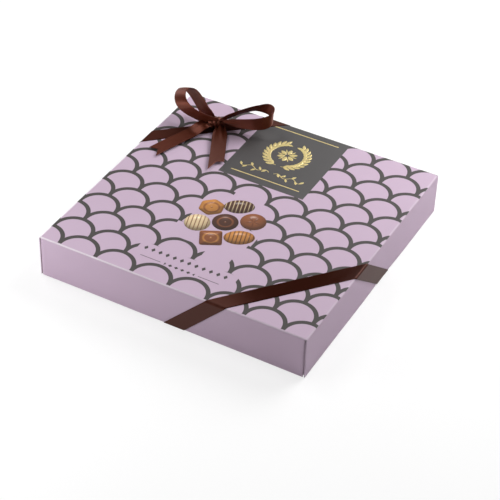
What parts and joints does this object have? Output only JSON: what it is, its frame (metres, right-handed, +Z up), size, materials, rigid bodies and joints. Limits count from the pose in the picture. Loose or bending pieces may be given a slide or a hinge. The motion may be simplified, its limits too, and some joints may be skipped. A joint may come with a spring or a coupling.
{
  "type": "chocolate box",
  "caption": "Square lift-off lid gift box for chocolates, tied with satin corner ribbons and a bow, holding a formed tray of pralines under a paper pad.",
  "frame": {"origin": "middle of the base carton's underside, on the table", "axes": "+X along the front edge to the right, +Y from front to back, +Z up"},
  "size_m": [0.2208, 0.2208, 0.0605],
  "materials": {
    "lilac_board": "soft matt printed board",
    "base_board": "soft matt printed board",
    "satin_ribbon": "brown satin weave",
    "tray_sheet": "formed plastic sheet, gold brown",
    "pad_paper": "embossed glassine",
    "milk_chocolate": "glossy milk chocolate",
    "cocoa_cream": "matt piped cocoa cream",
    "dark_chocolate": "glossy dark chocolate",
    "bitter_chocolate": "glossy bitter chocolate",
    "caramel": "glossy caramel chocolate",
    "ivory_chocolate": "ivory chocolate"
  },
  "bodies": {
    "base": {"base_carton": "base_board"},
    "tray": {"blister_tray": "tray_sheet", "striped_dome_1": "milk_chocolate", "striped_dome_2": "milk_chocolate", "striped_dome_3": "milk_chocolate", "striped_dome_4": "milk_chocolate", "striped_dome_5": "milk_chocolate", "swirl_cone_1": "cocoa_cream", "swirl_cone_2": "cocoa_cream", "swirl_cone_3": "cocoa_cream", "swirl_cone_4": "cocoa_cream", "swirl_cone_5": "cocoa_cream", "layered_square_1": "dark_chocolate", "layered_square_2": "dark_chocolate", "layered_square_3": "dark_chocolate", "layered_square_4": "dark_chocolate", "layered_square_5": "dark_chocolate", "caramel_heart_1": "caramel", "caramel_heart_2": "caramel", "caramel_heart_3": "caramel", "caramel_heart_4": "caramel", "caramel_heart_5": "caramel", "dark_wedge_1": "bitter_chocolate", "dark_wedge_2": "bitter_chocolate", "dark_wedge_3": "bitter_chocolate", "dark_wedge_4": "bitter_chocolate", "dark_wedge_5": "bitter_chocolate", "ivory_top_1": "ivory_chocolate", "ivory_top_2": "ivory_chocolate", "ivory_top_3": "ivory_chocolate", "ivory_top_4": "ivory_chocolate", "ivory_top_5": "ivory_chocolate"},
    "pad": {"cushion_pad": "pad_paper"},
    "lid": {"lid_carton": "lilac_board", "front_corner_ribbon": "satin_ribbon", "back_corner_ribbon": "satin_ribbon", "bow_knot": "satin_ribbon", "bow_left_loop": "satin_ribbon", "bow_right_loop": "satin_ribbon", "bow_left_tail": "satin_ribbon", "bow_right_tail": "satin_ribbon"}
  },
  "joints": [
    {"name": "tray_lift", "type": "slide", "parent": "base", "child": "tray", "axis": [0, 0, 1], "range_m": [0, 0.05]},
    {"name": "pad_lift", "type": "slide", "parent": "tray", "child": "pad", "axis": [0, 0, 1], "range_m": [0, 0.06]},
    {"name": "lid_lift", "type": "slide", "parent": "pad", "child": "lid", "axis": [0, 0, 1], "range_m": [0, 0.11]}
  ]
}
